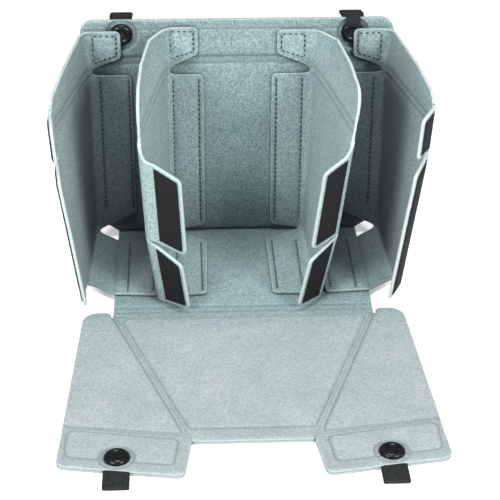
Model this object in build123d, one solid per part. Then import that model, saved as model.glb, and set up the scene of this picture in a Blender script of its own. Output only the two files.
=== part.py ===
from build123d import *
import os
from math import cos, radians, sin
import numpy as np

# A folding felt organiser insert: a back panel, a floor panel and a front flap of padded felt, with four
# bent felt walls sewn on by tabs. Each wall carries two narrow flanges with hook strips at its front edge.
# Drawn with the floor's upper face at z = 0 and the back panel's front face at y = 0, the flap towards -Y.
# place() then moves everything so that the origin is under the middle of the outline.

# Padded panels: a lining below, a board in a pocket, and a moulded skin above
PANEL = 4.5                # overall thickness at a pad
LINING = 1.5
BOARD = 1.0
PRESSED = 1.2              # how far the pressed margins and grooves lie below the pads
BOARD_INSET = 3.0          # how far a board stays inside its pad's outline
CREASE = 0.4               # half the slit between two panels at a fold

# Back and floor panels
BACK_HALF = 104.5
BACK_TOP = 157.2
BAND_TOP = 151.5
BAND_LOW = 132.0
FIELD_TOP = 126.5
BASE_HALF = 84.3
CORNER_CUT = 14.0          # height of the cut at the back panel's lower corners
FLOOR_FRONT = -103.0
FLOOR_CUT = 3.2            # cut at the floor's front corners, beside the flap's ears
FOLD_Y = -114.2            # hinge line of the flap, at the level of its upper face

# Front flap
DIAGONAL_TOP = 82.2        # half width between the diagonal folds at the flap's hinge
NOTCH_Y = -248.6
NOTCH_HALF = 34.95         # half width at the end of the diagonal folds
EAR_Y = -110.0
EAR_HALF = 103.0
FLAP_HALF = 109.3          # half width at the outer end of the leg fold
LEG_FOLD_OUTER = -233.3    # y of the leg fold at the flap's outer edge
LEG_FOLD_INNER = -245.4    # and at the diagonal fold
LEG_END_HALF = 111.3
LEG_END_OUTER = -271.0
LEG_END_INNER = -282.6
LEG_INNER_X = 39.3
MARGIN = 5.2               # pressed margin along the flap's edges

# Walls
WALL = 2.4                 # thickness of the bent felt sheets
TAB_TOP = 150.5
NOTCH_Z = 123.4
LONG_TAB_TOP = 119.5
HINGE_GAP = 1.7            # from a wall's front edge to the crease line of its flanges
FLANGE_WIDTH = 20.8
STRIP = 1.2                # thickness of a hook strip
STRIP_START = 3.4
STRIP_MARGIN = 2.2

# Press studs and webbing
STUD_X = 77.0
STUD_BACK_Z = 147.0
STUD_LEG_Y = -263.4
CAP_R = 7.5
CAP_HIGH = 3.3
DISH_R = 4.2
DISH_DEEP = 0.9
WELL_R = 10.5              # pressed circle around a cap
SUNK_BASE = -2.5           # the back caps sit deeper, so that the walls' top tabs pass over them
SUNK_HIGH = 2.4
POST_R = 2.2
SOCKET_R = 5.0
SOCKET = 0.8
WEB = 15.0                 # webbing width
WEB_FIT = 0.2
STRAP_TAIL = 9.0           # how far the sewn-in webbing runs past the stud
WEB_LOOP = 2.8             # thickness of the folded loop
LOOP_LONG = 16.5
LOOP_START = 1.6
LEG_LOOP_Y = -278.0
BACK_LOOP_Y = 5.4
BACK_LOOP_Z = 158.0
BACK_LOOP_DROOP = 13.0
THREAD = 0.5
THREAD_HIGH = 0.25

ORIGIN_Y = -136.5          # middle of the outline along Y

HALF = WALL / 2
SKIN_LOW = -PANEL + LINING

# Each wall by its own measures, all as distances from the middle plane. crease: x of the back crease at the
# tab's top, at the notch and at the floor. top: points along the upper edge. front: points up the front edge,
# the flanges' split among them. floor: the floor tab's outline from back to front. fold: degrees from
# straight ahead of the upper and the lower flange. split: heights of the flanges' ends at the crease.
INNER_SPLIT = (3.4, 49.4, 50.4, 106.5)
OUTER_SPLIT = (5.5, 102.5, 104.5, 135.0)
OUTER = {
    "crease": (103.5, 100.3, 100.5), "tabs": (77.5, 71.0), "tab_low": 16.0, "tab_notch": 131.5,
    "top": [(107.5, -33.0, 150.0), (112.3, -68.0, 149.0)],
    "front": [(103.5, -88.0, 5.0), (110.8, -89.0, 55.0), (116.3, -90.0, 103.5),
              (117.6, -91.0, 124.0), (118.2, -93.0, 140.5)],
    "floor": [(83.0, -17.0), (54.5, -15.0), (54.5, -91.5), (84.0, -89.0), (100.8, -74.0)],
    "split": OUTER_SPLIT, "slopes": (0.10, -0.05, 0.42, 0.05),
}
WINGS = {
    "outer_left": {**OUTER, "side": -1, "fold": (6.0, 5.0)},
    "outer_right": {**OUTER, "side": 1, "fold": (28.0, 26.0)},
    "inner_left": {
        "side": -1, "crease": (47.5, 48.2, 47.5), "tabs": (26.3, 22.8), "tab_low": 5.0, "tab_notch": 134.0,
        "top": [(60.0, -24.0, 151.0), (64.3, -62.0, 149.5)],
        "front": [(54.4, -97.0, 2.0), (61.0, -98.0, 50.0), (63.9, -98.0, 106.0),
                  (64.6, -98.0, 121.5), (65.2, -98.0, 144.5)],
        "floor": [(22.0, -20.0), (23.4, -90.5), (50.5, -93.0)],
        "fold": (68.0, 57.0), "split": INNER_SPLIT, "slopes": (0.50, 0.38, 0.60, 0.02),
    },
    "inner_right": {
        "side": 1, "crease": (53.5, 51.8, 47.0), "tabs": (26.3, 23.0), "tab_low": 5.0, "tab_notch": 134.0,
        "top": [(65.0, -20.0, 150.5), (69.5, -60.0, 149.5)],
        "front": [(50.4, -97.0, 2.0), (60.2, -98.0, 50.0), (67.2, -98.0, 106.0),
                  (69.3, -98.0, 121.5), (72.2, -98.0, 145.0)],
        "floor": [(19.0, -18.0), (20.0, -91.0), (48.5, -93.0)],
        "fold": (55.0, 50.0), "split": INNER_SPLIT, "slopes": (0.42, 0.30, 0.60, 0.02),
    },
}


def place(shape):
    return Pos(0, -ORIGIN_Y, PANEL) * shape


def save(name, *shapes):
    solids = [s for shape in shapes for s in shape.solids()]
    placed = [place(s) for s in solids]
    export_step(placed[0] if len(placed) == 1 else Compound(children=placed), f"parts/{name}.step")


def flat(points, low, high):
    """A plate between two heights. Each point is x, y and, at a rounded corner, its radius."""
    face = Face(Wire.make_polygon([Vector(p[0], p[1]) for p in points], close=True))
    for p in points:
        if len(p) == 3:
            corner = face.vertices().sort_by_distance(Vector(p[0], p[1]))[0]
            face = face.fillet_2d(p[2], [corner])
    return Pos(0, 0, low) * Solid.extrude(face, Vector(0, 0, high - low))


def upright(shape):
    """Stands a plate drawn in X and Y up against the back: its Y becomes Z and its height faces -Y."""
    return Rot(90, 0, 0) * shape


def mirrored(points):
    """A symmetric outline from its right-hand half, given from front to back."""
    return points + [(-p[0], *p[1:]) for p in reversed(points)]


def flip(points, side):
    return [(side * p[0], *p[1:]) for p in points]


def slab(points, start, stop):
    """A flat plate in space from a planar outline, between two offsets along the outline's normal."""
    corners = [Vector(*p) for p in points]
    normal = (corners[1] - corners[0]).cross(corners[2] - corners[0]).normalized()
    face = Face(Wire.make_polygon([c + normal * start for c in corners], close=True))
    return Solid.extrude(face, normal * (stop - start))


def folded_sheet(points, facets, thickness):
    """A closed solid of even thickness around flat facets, which are loops of names from points."""
    triangles = [(f[0], f[i], f[i + 1]) for f in facets for i in range(1, len(f) - 1)]
    at = {name: np.array(p, float) for name, p in points.items()}
    normals = {}
    for t in triangles:
        n = np.cross(at[t[1]] - at[t[0]], at[t[2]] - at[t[0]])
        for name in t:
            normals.setdefault(name, []).append(n / np.linalg.norm(n))
    offset = {}
    for name, around in normals.items():
        rows = np.array(around)
        offset[name] = np.linalg.lstsq(rows, np.full(len(rows), thickness / 2), rcond=0.05)[0]
    upper = {name: Vector(*(at[name] + offset[name])) for name in normals}
    lower = {name: Vector(*(at[name] - offset[name])) for name in normals}
    loops = [[upper[n] for n in t] for t in triangles]
    loops += [[lower[n] for n in reversed(t)] for t in triangles]
    edges = {(t[i], t[(i + 1) % 3]) for t in triangles for i in range(3)}
    for a, b in sorted(edges):
        if (b, a) not in edges:
            loops.append([upper[b], upper[a], lower[a]])
            loops.append([upper[b], lower[a], lower[b]])
    faces = [Face(Wire.make_polygon(loop, close=True)) for loop in loops]
    return Solid(Shell(faces))


def padded(outline, pads, boards, cuts=(), pockets=()):
    """Skin, boards and lining of a padded panel. cuts leave the pads; pockets leave the lining."""
    skin = flat(outline, SKIN_LOW, -PRESSED)
    for pad in pads:
        raised = flat(pad, -PRESSED, 0)
        for cut in cuts:
            raised -= cut
        skin += raised
    lining = flat(outline, -PANEL, SKIN_LOW)
    for pocket in pockets:
        lining -= pocket
        skin -= pocket
    plates = [flat(board, SKIN_LOW, SKIN_LOW + BOARD) for board in boards]
    for plate in plates:
        skin -= plate
    return skin, plates, lining


def stud_parts(x, y, base=-PRESSED, high=CAP_HIGH):
    """Cap with its post, socket, and the well, post hole and socket hole around a stud at x, y."""
    top = base + high
    cap_profile = [
        (0, -PANEL), (POST_R, -PANEL), (POST_R, base), (CAP_R, base), (CAP_R, base + high / 3),
        (CAP_R - 0.7, top - 0.6), (CAP_R - 1.9, top), (DISH_R, top), (DISH_R - 1.3, top - DISH_DEEP),
        (0, top - DISH_DEEP),
    ]
    face = Face(Wire.make_polygon([Vector(r, 0, z) for r, z in cap_profile], close=True))
    here = Pos(x, y, 0)
    cap = here * revolve(face, Axis.Z)
    post = here * Pos(0, 0, -PANEL) * Solid.make_cylinder(POST_R, PANEL)
    disc = here * Pos(0, 0, -PANEL) * Solid.make_cylinder(SOCKET_R, SOCKET)
    well = here * Pos(0, 0, base) * Solid.make_cylinder(WELL_R, -base)
    return cap, disc - post, well, post, disc


def strip_plate(x, start, end, spare=0.0):
    """A plate as wide as the webbing, flush in the lining, between start and end along Y."""
    half = WEB / 2 + spare
    return flat([(x - half, start), (x + half, start), (x + half, end), (x - half, end)], -PANEL, SKIN_LOW)


def loop_solid():
    """A folded webbing loop, from its hinge line along +Y, with a round closed end."""
    long = LOOP_LONG - WEB_LOOP / 2
    body = Pos(0, LOOP_START, 0) * Box(WEB, long - LOOP_START, WEB_LOOP,
                                      align=(Align.CENTER, Align.MIN, Align.CENTER))
    end = Pos(-WEB / 2, long, 0) * Rot(0, 90, 0) * Solid.make_cylinder(WEB_LOOP / 2, WEB)
    return body + end


def back_panel():
    outline = mirrored([(BASE_HALF, 0), (BACK_HALF, CORNER_CUT), (BACK_HALF, BACK_TOP, 9)])
    band = mirrored([(BACK_HALF, BAND_LOW), (BACK_HALF, BAND_TOP, 6)])
    field = mirrored([(BASE_HALF, 0), (BACK_HALF, CORNER_CUT), (BACK_HALF, FIELD_TOP, 4)])
    boards = [mirrored([(66, BAND_LOW + BOARD_INSET), (66, BAND_TOP - BOARD_INSET)]),
              mirrored([(BASE_HALF - 4, 4), (BACK_HALF - 6, CORNER_CUT + 4), (BACK_HALF - 6, FIELD_TOP - 4)])]
    pockets, caps, sockets, anchors = [], [], [], []
    for side in (-1, 1):
        cap, socket, well, post, disc = stud_parts(side * STUD_X, STUD_BACK_Z, SUNK_BASE, SUNK_HIGH)
        start = STUD_BACK_Z - STRAP_TAIL
        strap = strip_plate(side * STUD_X, start, BACK_TOP) - post - disc
        strap_room = strip_plate(side * STUD_X, start - WEB_FIT, BACK_TOP + 1, WEB_FIT)
        pockets += [strap_room, post, well]
        caps.append(upright(cap))
        sockets.append(upright(socket))
        anchors.append(upright(strap))
    skin, plates, lining = padded(outline, [band, field], boards, (), pockets)
    save("back_skin", upright(skin))
    save("back_lining", upright(lining))
    save("band_board", upright(plates[0]))
    save("back_board", upright(plates[1]))
    save("back_stud_caps", *caps)
    save("back_stud_sockets", *sockets)
    save("back_webbing_ends", *anchors)


def floor_panel():
    front = FOLD_Y + CREASE
    outline = mirrored([(BASE_HALF - FLOOR_CUT, front), (BASE_HALF, front + FLOOR_CUT), (BASE_HALF, PANEL)])
    pad = mirrored([(BASE_HALF, FLOOR_FRONT), (BASE_HALF, PANEL)])
    board = mirrored([(BASE_HALF - 4, FLOOR_FRONT + 4), (BASE_HALF - 4, -1)])
    skin, plates, lining = padded(outline, [pad], [board])
    save("floor_skin", skin)
    save("floor_lining", lining)
    save("floor_board", plates[0])


def diagonal_x(y, shift=0.0):
    """Half width of the diagonal fold at y, moved sideways by shift."""
    along = (FOLD_Y - y) / (FOLD_Y - NOTCH_Y)
    return DIAGONAL_TOP + (NOTCH_HALF - DIAGONAL_TOP) * along + shift


def leg_fold_y(x, shift=0.0):
    """The leg fold's y at half width x, moved along Y by shift."""
    along = (x - NOTCH_HALF) / (FLAP_HALF - NOTCH_HALF)
    return LEG_FOLD_INNER + (LEG_FOLD_OUTER - LEG_FOLD_INNER) * along + shift


def flap_centre():
    top = FOLD_Y - CREASE
    outline = mirrored([(diagonal_x(NOTCH_Y, -CREASE), NOTCH_Y, 2), (diagonal_x(top, -CREASE), top)])
    pad_low, pad_high = -237.3, -117.8
    pad = mirrored([(diagonal_x(pad_low, -2.8), pad_low, 2), (diagonal_x(pad_high, -2.8), pad_high, 2)])
    board = mirrored([(diagonal_x(pad_low + 4, -7), pad_low + 4), (diagonal_x(pad_high - 4, -7), pad_high - 4)])
    skin, plates, lining = padded(outline, [pad], [board])
    save("flap_centre_skin", skin)
    save("flap_centre_lining", lining)
    save("flap_centre_board", plates[0])


def flap_side(name, side):
    top = FOLD_Y - CREASE
    root = BASE_HALF + 1.2
    low = LEG_FOLD_INNER + 1.8
    outline = [(diagonal_x(low, CREASE) + 0.6, low), (FLAP_HALF - 0.3, leg_fold_y(FLAP_HALF, CREASE)),
               (EAR_HALF + 0.4, EAR_Y, 10), (root + 0.8, EAR_Y, 2), (root, top), (diagonal_x(top, CREASE), top)]
    pad = [(diagonal_x(low + 8, 4) + 1.5, leg_fold_y(diagonal_x(low + 8, 4) + 1.5, 2.8), 1.5),
           (FLAP_HALF - 3.5, leg_fold_y(FLAP_HALF, 2.8), 1.5),
           (EAR_HALF - 4, EAR_Y - 12, 6), (diagonal_x(EAR_Y - 12, 4) + 1, EAR_Y - 12, 2)]
    board = [(diagonal_x(low + 16, 9) + 1.5, leg_fold_y(60, 8)), (FLAP_HALF - 8, leg_fold_y(FLAP_HALF, 8)),
             (EAR_HALF - 9, EAR_Y - 18), (diagonal_x(EAR_Y - 18, 8), EAR_Y - 18)]
    skin, plates, lining = padded(flip(outline, side), [flip(pad, side)], [flip(board, side)])
    save(f"flap_side_{name}_skin", skin)
    save(f"flap_side_{name}_lining", lining)
    save(f"flap_side_{name}_board", plates[0])


def flap_leg(name, side):
    outline = [(NOTCH_HALF + 0.6, NOTCH_Y + 1.5), (LEG_INNER_X, LEG_END_INNER, 5),
               (LEG_END_HALF, LEG_END_OUTER, 7), (FLAP_HALF, leg_fold_y(FLAP_HALF, -CREASE)),
               (diagonal_x(LEG_FOLD_INNER, CREASE) + 0.6, leg_fold_y(diagonal_x(LEG_FOLD_INNER), -CREASE))]
    pad = [(LEG_INNER_X + 3.5, leg_fold_y(LEG_INNER_X, -3), 2), (LEG_INNER_X + 5, LEG_END_INNER + MARGIN + 3, 2),
           (LEG_END_HALF - MARGIN, LEG_END_OUTER + MARGIN + 1, 2), (FLAP_HALF - 3.4, leg_fold_y(FLAP_HALF, -3), 2)]
    board = [(LEG_INNER_X + 8, leg_fold_y(LEG_INNER_X, -7)), (LEG_INNER_X + 9, LEG_END_INNER + 14),
             (STUD_X - WELL_R - 1, LEG_END_INNER + 19.5), (STUD_X - WELL_R - 1, leg_fold_y(STUD_X, -8))]
    cap, socket, well, post, disc = stud_parts(side * STUD_X, STUD_LEG_Y)
    start = STUD_LEG_Y + STRAP_TAIL
    strap = strip_plate(side * STUD_X, LEG_LOOP_Y + 1, start) - post - disc
    pockets = [strip_plate(side * STUD_X, LEG_LOOP_Y - 8, start + WEB_FIT, WEB_FIT), post]
    skin, plates, lining = padded(flip(outline, side), [flip(pad, side)], [flip(board, side)], [well], pockets)
    loop = Pos(side * STUD_X, LEG_LOOP_Y, SKIN_LOW - 0.1) * Rot(0, 0, 180) * loop_solid()
    save(f"flap_leg_{name}_skin", skin)
    save(f"flap_leg_{name}_lining", lining)
    save(f"flap_leg_{name}_board", plates[0])
    save(f"leg_stud_cap_{name}", cap)
    save(f"leg_stud_socket_{name}", socket)
    save(f"leg_webbing_end_{name}", strap)
    save(f"leg_webbing_loop_{name}", loop)


def wing_points(w):
    """The middle surface of a right-hand wall: named points and the facets between them."""
    (top_x, notch_x, floor_x), (top_tab, long_tab) = w["crease"], w["tabs"]
    p = {
        "tab_top_in": (top_tab, -HALF, TAB_TOP), "tab_low_in": (top_tab, -HALF, w["tab_notch"]),
        "notch": (notch_x, -HALF, NOTCH_Z), "crease_top": (top_x, -HALF, TAB_TOP),
        "long_top_in": (long_tab, -HALF, LONG_TAB_TOP), "long_low_in": (long_tab, -HALF, w["tab_low"]),
        "corner": (floor_x, -HALF, HALF), "long_top": (notch_x, -HALF, LONG_TAB_TOP),
    }
    for i, (x, y) in enumerate(w["floor"]):
        p[f"floor{i}"] = (x, y, HALF)
    for i, point in enumerate(w["front"]):
        p[f"front{i}"] = point
    for i, point in enumerate(w["top"]):
        p[f"top{i}"] = point
    floor_loop = ["corner"] + [f"floor{i}" for i in range(len(w["floor"]))]
    facets = [
        ("tab_top_in", "tab_low_in", "notch", "crease_top"),
        ("long_top_in", "long_low_in", "corner", "long_top"),
        ("long_top", "corner", floor_loop[-1], "front0", "front1", "front2", "front3", "notch"),
        ("notch", "front3", "front4", "top1", "top0", "crease_top"),
        (floor_loop[-1], *floor_loop[:-1]),
    ]
    return p, facets


def wing(name, w):
    points, facets = wing_points(w)
    sheet = folded_sheet(points, facets, WALL)
    save(f"wing_{name}", sheet if w["side"] > 0 else mirror(sheet, about=Plane.YZ))


def front_edge(w, z):
    """The point on a right-hand wall's front edge at height z."""
    for (x0, y0, z0), (x1, y1, z1) in zip(w["front"], w["front"][1:]):
        if z <= z1:
            return Vector(x0, y0, z0) + Vector(x1 - x0, y1 - y0, z1 - z0) * ((z - z0) / (z1 - z0))
    return Vector(x1, y1, z1)


def crease_line(w, low, high):
    """Both ends of a flange's crease, just ahead of the wall's front edge."""
    ends = []
    for z in (low, high):
        edge = front_edge(w, z)
        ahead = Vector(edge.X - w["crease"][1], edge.Y, 0).normalized()
        ends.append(edge + ahead * HINGE_GAP)
    return ends


def flange(name, w, level):
    """A flange plate and its hook strip. level is upper or lower."""
    upper = level == "upper"
    low, high = w["split"][2:] if upper else w["split"][:2]
    fold = radians(w["fold"][0 if upper else 1])
    top_slope, low_slope = w["slopes"][:2] if upper else w["slopes"][2:]
    foot, head = crease_line(w, low, high)
    rise = (head - foot).normalized()
    out = Vector(-sin(fold), -cos(fold), 0)

    def corner(base, reach, slope, margin):
        return base + out * reach - rise * (slope * reach - margin)

    def outline(start, stop, low_margin, top_margin):
        return [corner(foot, start, low_slope, low_margin), corner(foot, stop, low_slope, low_margin),
                corner(head, stop, top_slope, -top_margin), corner(head, start, top_slope, -top_margin)]

    plate = slab(outline(HINGE_GAP, FLANGE_WIDTH, 0, 0), -HALF, HALF)
    strip = slab(outline(STRIP_START, FLANGE_WIDTH - STRIP_MARGIN, 0.3, STRIP_MARGIN), -HALF - STRIP, -HALF)
    shapes = {f"flange_{name}_{level}": plate, f"hook_{name}_{level}": strip}
    for node, shape in shapes.items():
        save(node, shape if w["side"] > 0 else mirror(shape, about=Plane.YZ))
    ends = [place(Pos(w["side"] * e.X, e.Y, e.Z)).position for e in (foot, head)]
    print(f"crease {name} {level}:", [round(v / 1000, 5) for e in ends for v in e])


def thread(x0, z0, x1, z1):
    """A thread line lying on a tab, between two points in the tab's plane."""
    start, end = Vector(x0, z0), Vector(x1, z1)
    side = (end - start).cross(Vector(0, 0, 1)).normalized() * (THREAD / 2)
    corners = [start + side, end + side, end - side, start - side]
    return flat([(c.X, c.Y) for c in corners], WALL, WALL + THREAD_HIGH)


def seams():
    """Two lines of thread down each back tab and floor tab, and one pair on each top tab."""
    on_band, on_back, on_floor = [], [], []
    for w in WINGS.values():
        side, (top_tab, long_tab) = w["side"], w["tabs"]
        columns = [long_tab + 3.2, long_tab + 20.6]
        for x in columns:
            on_back.append(upright(thread(side * x, w["tab_low"] + 4, side * x, LONG_TAB_TOP - 3.5)))
        for x in (top_tab + 3.0, top_tab + 19.0):
            on_band.append(upright(thread(side * x, w["tab_notch"] + 1.5, side * x, TAB_TOP - 3)))
        back_y = min(w["floor"][0][1], w["floor"][1][1]) - 3
        inner = min(x for x, y in w["floor"])
        for x in (inner + 4.4, inner + 21):
            on_floor.append(thread(side * x, -86.5, side * x, back_y))
    save("stitching_band_tabs", *on_band)
    save("stitching_back_tabs", *on_back)
    save("stitching_floor_tabs", *on_floor)


def back_loop(name, side):
    tilt = Rot(-BACK_LOOP_DROOP, 0, 0)
    save(f"back_webbing_loop_{name}", Pos(side * STUD_X, BACK_LOOP_Y, BACK_LOOP_Z) * tilt * loop_solid())


os.makedirs("parts", exist_ok=True)
back_panel()
floor_panel()
flap_centre()
for name, side in (("left", -1), ("right", 1)):
    flap_side(name, side)
    flap_leg(name, side)
    back_loop(name, side)
for name, w in WINGS.items():
    wing(name, w)
    flange(name, w, "upper")
    flange(name, w, "lower")
seams()
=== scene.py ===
from math import ceil, cos, pi, radians, sin, tan

import bmesh
import bpy
import numpy as np
from mathutils import Matrix, Vector
from mathutils.geometry import delaunay_2d_cdt


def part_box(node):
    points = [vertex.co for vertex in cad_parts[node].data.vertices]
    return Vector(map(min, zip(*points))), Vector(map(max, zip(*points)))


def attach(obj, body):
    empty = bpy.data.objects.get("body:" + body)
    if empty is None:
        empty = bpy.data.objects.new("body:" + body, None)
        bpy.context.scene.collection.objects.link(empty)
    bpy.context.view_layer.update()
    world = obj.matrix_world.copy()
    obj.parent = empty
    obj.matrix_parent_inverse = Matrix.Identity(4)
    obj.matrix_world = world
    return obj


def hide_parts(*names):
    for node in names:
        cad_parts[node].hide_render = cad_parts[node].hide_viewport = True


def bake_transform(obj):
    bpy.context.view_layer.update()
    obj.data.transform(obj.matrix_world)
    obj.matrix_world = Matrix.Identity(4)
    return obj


# The looks of a folding felt organiser insert: moulded felt panels, four bent felt walls with hook flanges,
# thread, webbing and press studs. Shapes are drawn in millimetres with the floor's upper face at z = 0 and
# the back panel's front face at y = 0, and placed() turns them into the frame's metres.

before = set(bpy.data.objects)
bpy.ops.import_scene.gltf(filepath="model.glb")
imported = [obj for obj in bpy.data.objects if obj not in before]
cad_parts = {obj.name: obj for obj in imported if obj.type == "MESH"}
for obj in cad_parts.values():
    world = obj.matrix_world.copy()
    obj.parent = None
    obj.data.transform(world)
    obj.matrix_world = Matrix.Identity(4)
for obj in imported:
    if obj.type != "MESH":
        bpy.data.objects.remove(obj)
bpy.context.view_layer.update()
SHIFT = np.array([0.0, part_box("back_skin")[0].y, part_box("floor_skin")[1].z]) * 1000

# Padded panels
PANEL = 4.5
LINING = 1.5
SKIN_LOW = -PANEL + LINING
PRESSED = 1.2
PAD_SLOPE = 1.8            # width of the moulded step beside a pad
PAD_PAST = 4.0             # how far a pad runs on past the cut edge that it reaches
CROWN = 0.35               # how far a pad swells towards its middle
EDGE_DROP = 0.45           # how far the felt thins out at a cut edge
PALE_START = -96.0         # y where the felt starts to turn pale
PALE_LONG = 52.0

# Back and floor
BACK_HALF = 104.5
BACK_TOP = 157.2
BAND_TOP = 151.5
BAND_LOW = 132.0
FIELD_TOP = 126.5
RIDGE_Z = 129.4
RIDGE_HIGH = 0.45
BASE_HALF = 84.3
CORNER_CUT = 14.0
FLOOR_FRONT = -103.0
FOLD_Y = -114.2
FLOOR_CREASE = (-109.2, 0.35)   # y and depth

# Flap
DIAGONAL_TOP = 82.2
CENTRE_PAD = (-237.3, -117.8)   # y of its two ends
NOTCH_Y = -248.6
NOTCH_HALF = 34.95
EAR_Y = -109.0
EAR_HALF = 103.4
FLAP_HALF = 109.3
LEG_FOLD_OUTER = -233.3
LEG_FOLD_INNER = -245.4
LEG_END_HALF = 111.3
LEG_END_OUTER = -268.8
LEG_END_INNER = -280.4
LEG_INNER_X = 39.3
LEG_FOLD = ((NOTCH_HALF + 1.15, LEG_FOLD_INNER + 0.2), (FLAP_HALF, LEG_FOLD_OUTER))
FOLD_ROOM = 2.75           # from a fold line to the pads beside it
BEND = 5.0                 # length of felt that bends at a flap fold

# Walls
WALL = 2.4
TAB_TOP = 150.5
NOTCH_Z = 123.4
LONG_TAB_TOP = 119.5
HINGE_GAP = 1.7
FLANGE_WIDTH = 20.8
STRIP_START = 3.4
STRIP_MARGIN = 2.2
GUSSET_HALF = 2.4          # from the middle of a wall's slanting crease to each of its two lines
WELD = 0.02                # points closer than this are one point
FELT_STEP = 2.2            # spacing of the felt meshes
LIP = 0.5                  # how far a cut edge rounds out

# Press studs, webbing and thread
STUD_X = 77.0
STUD_BACK_Z = 147.0
STUD_LEG_Y = -263.4
CAP_R = 7.5
WELL_R = 10.5
BACK_WELL = -2.5
LEG_WELL = -1.25
LEG_CAP_BASE = -1.2
CAP_HIGH = 2.9
WEB = 15.0
WEB_THICK = 1.3
WEB_LOOP = 2.8
LOOP_LONG = 16.5
LEG_LOOP_LONG = 12.5
LEG_LOOP_Y = -276.5
BACK_LOOP_Y = 5.4
BACK_LOOP_Z = 158.0
BACK_LOOP_DROOP = 13.0
STRAP_TAIL = 9.0
STITCH_PITCH = 3.5
STITCH_LONG = 2.0
THREAD_R = 0.43
TOP_SEAMS = (3.0, 18.5)    # from the inner edge of a top tab
FLOOR_SEAMS = (4.2, 21.0)  # from the inner edge of a floor tab
FLOOR_SEAM_START = -87.0

# Every wall is drawn as a right-hand one, and side says where it stands.
#   crease: x of the back crease at the top, at the notch and at the floor; tall: its height, if not TAB_TOP
#   tabs: x of the inner edges of the top tab and the long tab; tab_notch, tab_low: where those tabs start
#   top, front: points along the free edges; round: radius between the two; floor: corners of the floor tab
#   split: lower and upper end of the lower flange, then of the upper one; seams: the long tab's two seams
#   slopes: of the upper and lower end of the upper flange, then of the lower one
#   fold: degrees that the upper and the lower flange turn inwards; soft: how much longer and softer they bend
#   crest: height of the felt that fills the corner above the upper flange
OUTER = {
    "crease": (103.5, 100.3, 100.5), "tabs": (77.5, 71.0), "tab_low": 16.0, "tab_notch": 131.5,
    "top": [(107.5, -33.0, 150.0), (112.3, -68.0, 149.0)],
    "front": [(103.5, -88.0, 5.0), (110.8, -89.0, 55.0), (116.3, -90.0, 103.5),
              (117.6, -91.0, 124.0), (118.2, -93.0, 140.5)],
    "floor": [(83.0, -17.0), (54.5, -15.0), (54.5, -91.5), (84.0, -89.0), (100.8, -74.0)],
    "split": (5.5, 102.5, 104.5, 135.0), "slopes": (0.10, -0.05, 0.42, 0.05),
    "seams": (1.9, 21.0), "round": 9,
}
INNER = {"tab_low": 5.0, "tab_notch": 134.0, "split": (3.4, 49.4, 50.4, 106.5), "seams": (3.2, 20.6)}
WINGS = {
    "outer_left": {**OUTER, "side": -1, "fold": (6.0, 5.0)},
    "outer_right": {**OUTER, "side": 1, "fold": (28.0, 26.0)},
    "inner_left": {
        **INNER, "side": -1, "soft": (5.8, 3.2), "crest": 9.0, "tall": 153.0,
        "crease": (47.5, 48.2, 47.5), "tabs": (26.3, 22.8),
        "top": [(58.0, -24.0, 153.5), (62.6, -62.0, 152.0)],
        "front": [(54.4, -97.0, 2.0), (61.0, -98.0, 50.0), (63.9, -98.0, 106.0),
                  (64.6, -98.0, 121.5), (64.6, -98.0, 146.0)],
        "floor": [(22.0, -20.0), (23.4, -90.5), (50.5, -93.0)],
        "fold": (68.0, 57.0), "slopes": (0.50, 0.38, 0.60, 0.02), "round": 17,
    },
    "inner_right": {
        **INNER, "side": 1, "crest": 8.0,
        "crease": (53.5, 51.8, 47.0), "tabs": (26.3, 23.0),
        "top": [(65.0, -20.0, 150.5), (69.5, -60.0, 149.5)],
        "front": [(50.4, -97.0, 2.0), (60.2, -98.0, 50.0), (67.2, -98.0, 106.0),
                  (69.3, -98.0, 121.5), (72.2, -98.0, 145.0)],
        "floor": [(19.0, -18.0), (20.0, -91.0), (48.5, -93.0)],
        "fold": (55.0, 50.0), "slopes": (0.42, 0.30, 0.60, 0.02), "round": 14,
    },
}


# Points, outlines and distances

def placed(points):
    return (np.asarray(points, float) + SHIFT) / 1000


def unit(v):
    v = np.asarray(v, float)
    return v / np.maximum(np.linalg.norm(v, axis=-1, keepdims=True), 1e-9)


def ease(t):
    t = np.clip(t, 0.0, 1.0)
    return t * t * (3 - 2 * t)


def around(count):
    """Angles at even steps round a circle."""
    return np.linspace(0, 2 * pi, count, endpoint=False)


def dense(line, step=1.5, closed=True):
    """The same line with points about step apart, its corners kept."""
    line = np.asarray(line, float)
    ends = np.roll(line, -1, axis=0) if closed else line[1:]
    points = []
    for a, b in zip(line, ends):
        count = max(1, round(float(np.linalg.norm(b - a)) / step))
        points += [a + (b - a) * k / count for k in range(count)]
    if not closed:
        points.append(line[-1])
    return np.array(points)


def rounded(points, step=1.5):
    """A dense closed outline. A corner is x, y and, where it is round, its radius."""
    corners = [np.array(p[:2], float) for p in points]
    line = []
    for i, corner in enumerate(corners):
        radius = points[i][2] if len(points[i]) == 3 else 0
        if not radius:
            line.append(corner)
            continue
        a = unit(corners[i - 1] - corner)
        b = unit(corners[(i + 1) % len(corners)] - corner)
        turn = pi - float(np.arccos(np.clip(a @ b, -1, 1)))
        start = corner + a * radius * tan(turn / 2)
        end = corner + b * radius * tan(turn / 2)
        centre = corner + unit(a + b) * radius / cos(turn / 2)
        count = max(3, ceil(radius * turn / step))
        for k in range(count + 1):
            t = k / count
            arm = (start - centre) * sin((1 - t) * turn) + (end - centre) * sin(t * turn)
            line.append(centre + arm / sin(turn))
    return dense(line, step)


def mirrored(points):
    return points + [(-p[0], *p[1:]) for p in reversed(points)]


def flip(points, side):
    return [(side * p[0], *p[1:]) for p in points]


def batches(points, size=1500):
    """The points in parts that are small enough to measure at once."""
    return np.array_split(points, max(1, len(points) // size))


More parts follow.
